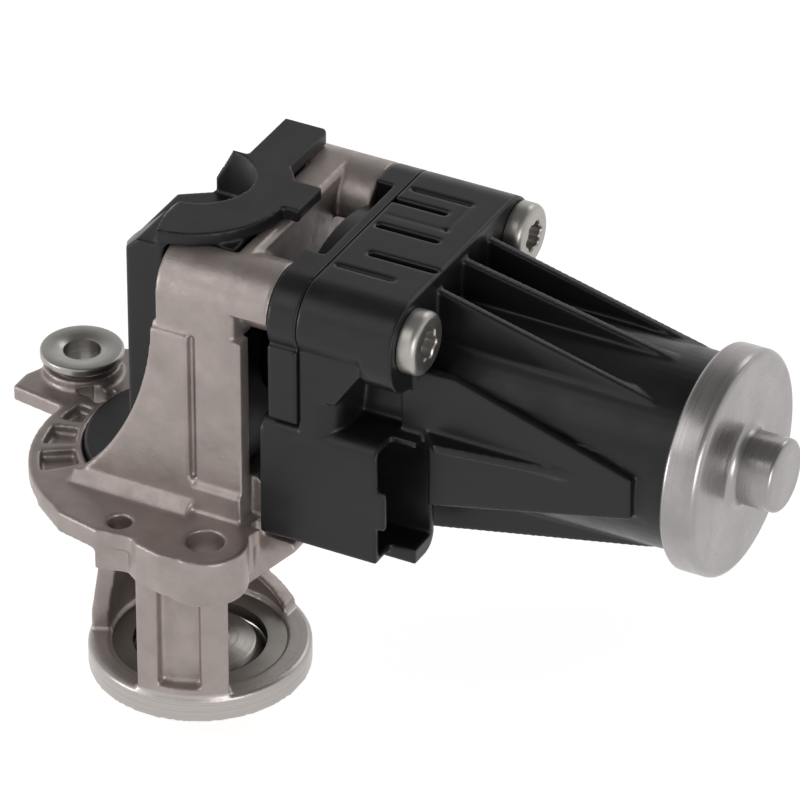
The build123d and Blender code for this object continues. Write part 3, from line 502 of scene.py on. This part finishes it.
def runTree(piece, tree, values):
    made = piece.modifiers.new("made", "NODES")
    made.node_group = tree
    for item in tree.interface.items_tree:
        if item.item_type == "SOCKET" and item.in_out == "INPUT" and item.name in values:
            made[item.identifier] = values[item.name]
    return bake(piece)


# Three pan-head screws with six-lobed recesses

screwSettings = {"seat": 46.5, "length": 32.0, "shank": 2.4, "point": 0.5, "head": 5.5, "height": 3.3,
                 "edge": 1.25, "rim": 0.15, "lobe": 2.75, "hollow": 0.55, "depth": 1.9, "mouth": 0.25,
                 "taper": 0.06, "segments": 96, "seed": 4}
screwPlaces = [(-10.9, 84.7), (26.9, 84.7), (25.2, 50.5)]


def screwTemplate():
    # one screw along X, seated at 0; the recess follows a six-lobed radius
    s = screwSettings
    bm = bmesh.new()
    count = s["segments"]
    h = s["height"]
    outer = [(-s["length"], s["shank"] - s["point"]), (-s["length"] + s["point"], s["shank"]),
             (0, s["shank"]), (0, s["head"] - s["rim"]), (s["rim"], s["head"])]
    outer += arc((h - s["edge"], s["head"] - s["edge"]), s["edge"], 90, 0, 7)
    rings = []
    for along, radius in outer:
        rings.append([(along, radius)] * count)
    for along, shrink in ((h, -s["mouth"]), (h - s["mouth"], 0.0), (h - s["depth"], s["taper"])):
        ring = []
        for k in range(count):
            a = 2 * math.pi * k / count
            lobe = s["lobe"] - s["hollow"] * (0.5 - 0.5 * math.cos(6 * a)) - shrink
            ring.append((along, lobe))
        rings.append(ring)
    loops = []
    for ring in rings:
        loop = []
        for k, (along, radius) in enumerate(ring):
            a = 2 * math.pi * k / count
            loop.append(bm.verts.new((along * mm, radius * math.cos(a) * mm, radius * math.sin(a) * mm)))
        loops.append(loop)
    for first, second in zip(loops, loops[1:]):
        for k in range(count):
            n = (k + 1) % count
            bm.faces.new((first[k], first[n], second[n], second[k]))
    for loop, along in ((loops[0], -s["length"]), (loops[-1], h - s["depth"])):
        pole = bm.verts.new((along * mm, 0, 0))
        for k in range(count):
            bm.faces.new((pole, loop[k], loop[(k + 1) % count]))
    bmesh.ops.recalc_face_normals(bm, faces=bm.faces)
    mesh = bpy.data.meshes.new("screwTemplate")
    bm.to_mesh(mesh)
    bm.free()
    return shadeByAngle(makePiece("screwTemplate", mesh), 38)


def makeScrews():
    s = screwSettings
    template = screwTemplate()
    tree, start = newTree("screwSet", [("Screw", "NodeSocketObject"), ("Seed", "NodeSocketInt")])
    info = addNode(tree, "GeometryNodeObjectInfo")
    tree.links.new(start.outputs["Screw"], info.inputs["Object"])
    turn = addNode(tree, "FunctionNodeRandomValue", data_type="FLOAT_VECTOR")
    turn.inputs[0].default_value = (0, 0, 0)
    turn.inputs[1].default_value = (math.pi / 3, 0, 0)
    tree.links.new(start.outputs["Seed"], turn.inputs["Seed"])
    place = addNode(tree, "GeometryNodeInstanceOnPoints")
    tree.links.new(start.outputs["Geometry"], place.inputs["Points"])
    tree.links.new(info.outputs["Geometry"], place.inputs["Instance"])
    tree.links.new(turn.outputs[0], place.inputs["Rotation"])
    closeTree(tree, place.outputs["Instances"], screwMetal)
    mesh = bpy.data.meshes.new("housingScrews")
    mesh.from_pydata([(s["seat"] * mm, y * mm, z * mm) for y, z in screwPlaces], [], [])
    screws = makePiece("housingScrews", mesh)
    runTree(screws, tree, {"Screw": template, "Seed": s["seed"]})
    bpy.data.objects.remove(template)
    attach(screws, "housing")
    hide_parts("housing_screws")


makeScrews()
print("screws done")


# Contact blades in the plug

pinSettings = {"count": 5, "pitch": 3.4, "floor": 28.6, "length": 9.0, "thick": 0.6, "width": 1.5,
               "y": -11.8, "z": 54.9, "edge": 0.18}


def makePins():
    s = pinSettings
    tree, start = newTree("bladeRow", [("Count", "NodeSocketInt"), ("Pitch", "NodeSocketFloat"),
                                       ("Size", "NodeSocketVector")])
    row = addNode(tree, "GeometryNodeMeshLine", mode="OFFSET")
    tree.links.new(start.outputs["Count"], row.inputs["Count"])
    first = (s["z"] - (s["count"] - 1) / 2 * s["pitch"]) * mm
    row.inputs["Start Location"].default_value = ((s["floor"] + s["length"] / 2) * mm, s["y"] * mm, first)
    step = addNode(tree, "ShaderNodeCombineXYZ")
    tree.links.new(start.outputs["Pitch"], step.inputs["Z"])
    tree.links.new(step.outputs["Vector"], row.inputs["Offset"])
    blade = addNode(tree, "GeometryNodeMeshCube")
    tree.links.new(start.outputs["Size"], blade.inputs["Size"])
    place = addNode(tree, "GeometryNodeInstanceOnPoints")
    tree.links.new(row.outputs["Mesh"], place.inputs["Points"])
    tree.links.new(blade.outputs["Mesh"], place.inputs["Instance"])
    closeTree(tree, place.outputs["Instances"], tinned)
    pins = makePiece("contactBlades", bpy.data.meshes.new("contactBlades"))
    runTree(pins, tree, {"Count": s["count"], "Pitch": s["pitch"] * mm,
                         "Size": (s["length"] * mm, s["thick"] * mm, s["width"] * mm)})
    edge = pins.modifiers.new("edge", "BEVEL")
    edge.width = s["edge"] * mm
    edge.segments = 2
    bake(pins)
    pins.data.materials.clear()
    pins.data.materials.append(tinned)
    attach(pins, "housing")
    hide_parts("connector_pins")


makePins()
print("contacts done")


# Floor, lights and camera

stageSettings = {"floorDrop": 7.5 * mm, "floorSize": 6.0, "floorTone": 0.9, "floorGlow": 0.70,
                 "world": 0.45, "overhead": 0.20}
# each lamp: place from the middle of the valve in metres, its two sides, and its power in watts
lamps = {"keyLight": ((-0.35, -0.45, 0.55), (0.5, 0.4), 0.9),
         "sideLight": ((-0.62, -0.55, 0.02), (0.3, 0.35), 2.1),
         "fillLight": ((0.70, -0.50, 0.15), (0.4, 0.4), 2.0),
         "rimLight": ((0.1, 0.7, 0.5), (0.5, 0.3), 0.9)}
centre = Vector((35.2, 6.1, 60.0)) * mm


def seenPlainly(tree, path):
    # 1 for what the camera, a reflection or glass sees directly
    first = addNode(tree, "ShaderNodeMath", operation="MAXIMUM")
    tree.links.new(path.outputs["Is Camera Ray"], first.inputs[0])
    tree.links.new(path.outputs["Is Glossy Ray"], first.inputs[1])
    second = addNode(tree, "ShaderNodeMath", operation="MAXIMUM")
    tree.links.new(first.outputs["Value"], second.inputs[0])
    tree.links.new(path.outputs["Is Transmission Ray"], second.inputs[1])
    return second.outputs["Value"]


def addArea(name, offset, size, power):
    light = bpy.data.lights.new(name, "AREA")
    light.shape = "RECTANGLE"
    light.size, light.size_y = size
    light.energy = power
    obj = bpy.data.objects.new(name, light)
    bpy.context.scene.collection.objects.link(obj)
    obj.location = centre + Vector(offset)
    obj.rotation_euler = (-Vector(offset)).to_track_quat("-Z", "Y").to_euler()
    return obj


def buildStage():
    s = stageSettings
    mat, tree, shader = newMaterial("paleFloor")
    shader.inputs["Base Color"].default_value = (s["floorTone"], s["floorTone"], s["floorTone"], 1)
    shader.inputs["Roughness"].default_value = 0.95
    shader.inputs["Specular IOR Level"].default_value = 0.0
    shader.inputs["Emission Color"].default_value = (1, 1, 1, 1)
    glow = addNode(tree, "ShaderNodeMath", operation="MULTIPLY")
    tree.links.new(seenPlainly(tree, addNode(tree, "ShaderNodeLightPath")), glow.inputs[0])
    glow.inputs[1].default_value = s["floorGlow"]
    tree.links.new(glow.outputs["Value"], shader.inputs["Emission Strength"])
    bm = bmesh.new()
    bmesh.ops.create_grid(bm, x_segments=2, y_segments=2, size=s["floorSize"] / 2)
    mesh = bpy.data.meshes.new("floor")
    bm.to_mesh(mesh)
    bm.free()
    mesh.transform(Matrix.Translation((0, 0, cadBox[0][2] - s["floorDrop"])))
    floor = makePiece("floor", mesh, mat)

    world = bpy.data.worlds.new("studio")
    bpy.context.scene.world = world
    world.use_nodes = True
    tree = world.node_tree
    background = tree.nodes["Background"]
    path = addNode(tree, "ShaderNodeLightPath")
    strength = addNode(tree, "ShaderNodeMapRange")
    strength.inputs["To Min"].default_value = s["world"]
    strength.inputs["To Max"].default_value = 1.0
    tree.links.new(seenPlainly(tree, path), strength.inputs["Value"])
    # white at the horizon and darker overhead, where only the light and reflections reach
    coords = addNode(tree, "ShaderNodeTexCoord")
    parts = addNode(tree, "ShaderNodeSeparateXYZ")
    tree.links.new(coords.outputs["Generated"], parts.inputs[0])
    overhead = ramp(tree, parts.outputs["Z"], [(0.25, grey(1.0)), (0.85, grey(s["overhead"]))])
    sky = mixColour(tree, path.outputs["Is Camera Ray"], overhead, (1, 1, 1, 1))
    tree.links.new(sky, background.inputs["Color"])
    tree.links.new(strength.outputs["Result"], background.inputs["Strength"])

    for name, (offset, size, power) in lamps.items():
        addArea(name, offset, size, power)


# scale is in picture units to the millimetre, on a picture 800 wide
cameraSettings = {"distance": 1.30, "scale": 6.0, "right": (0.8857, 0.4643, 0.0),
                  "back": (0.3898, -0.7426, 0.5446), "sensor": 36.0, "width": 800}


def buildCamera():
    s = cameraSettings
    right = Vector(s["right"]).normalized()
    back = Vector(s["back"]).normalized()
    up = back.cross(right)
    data = bpy.data.cameras.new("photoView")
    data.sensor_width = s["sensor"]
    data.lens = s["sensor"] * s["scale"] * s["distance"] * 1000 / s["width"]
    data.clip_start = 0.05
    data.clip_end = 20
    camera = bpy.data.objects.new("photoView", data)
    bpy.context.scene.collection.objects.link(camera)
    rows = Matrix((right, up, back)).transposed().to_4x4()
    camera.matrix_world = Matrix.Translation(centre + back * s["distance"]) @ rows
    bpy.context.scene.camera = camera


buildStage()
buildCamera()
bpy.context.scene.view_settings.view_transform = "Standard"
print("stage done")
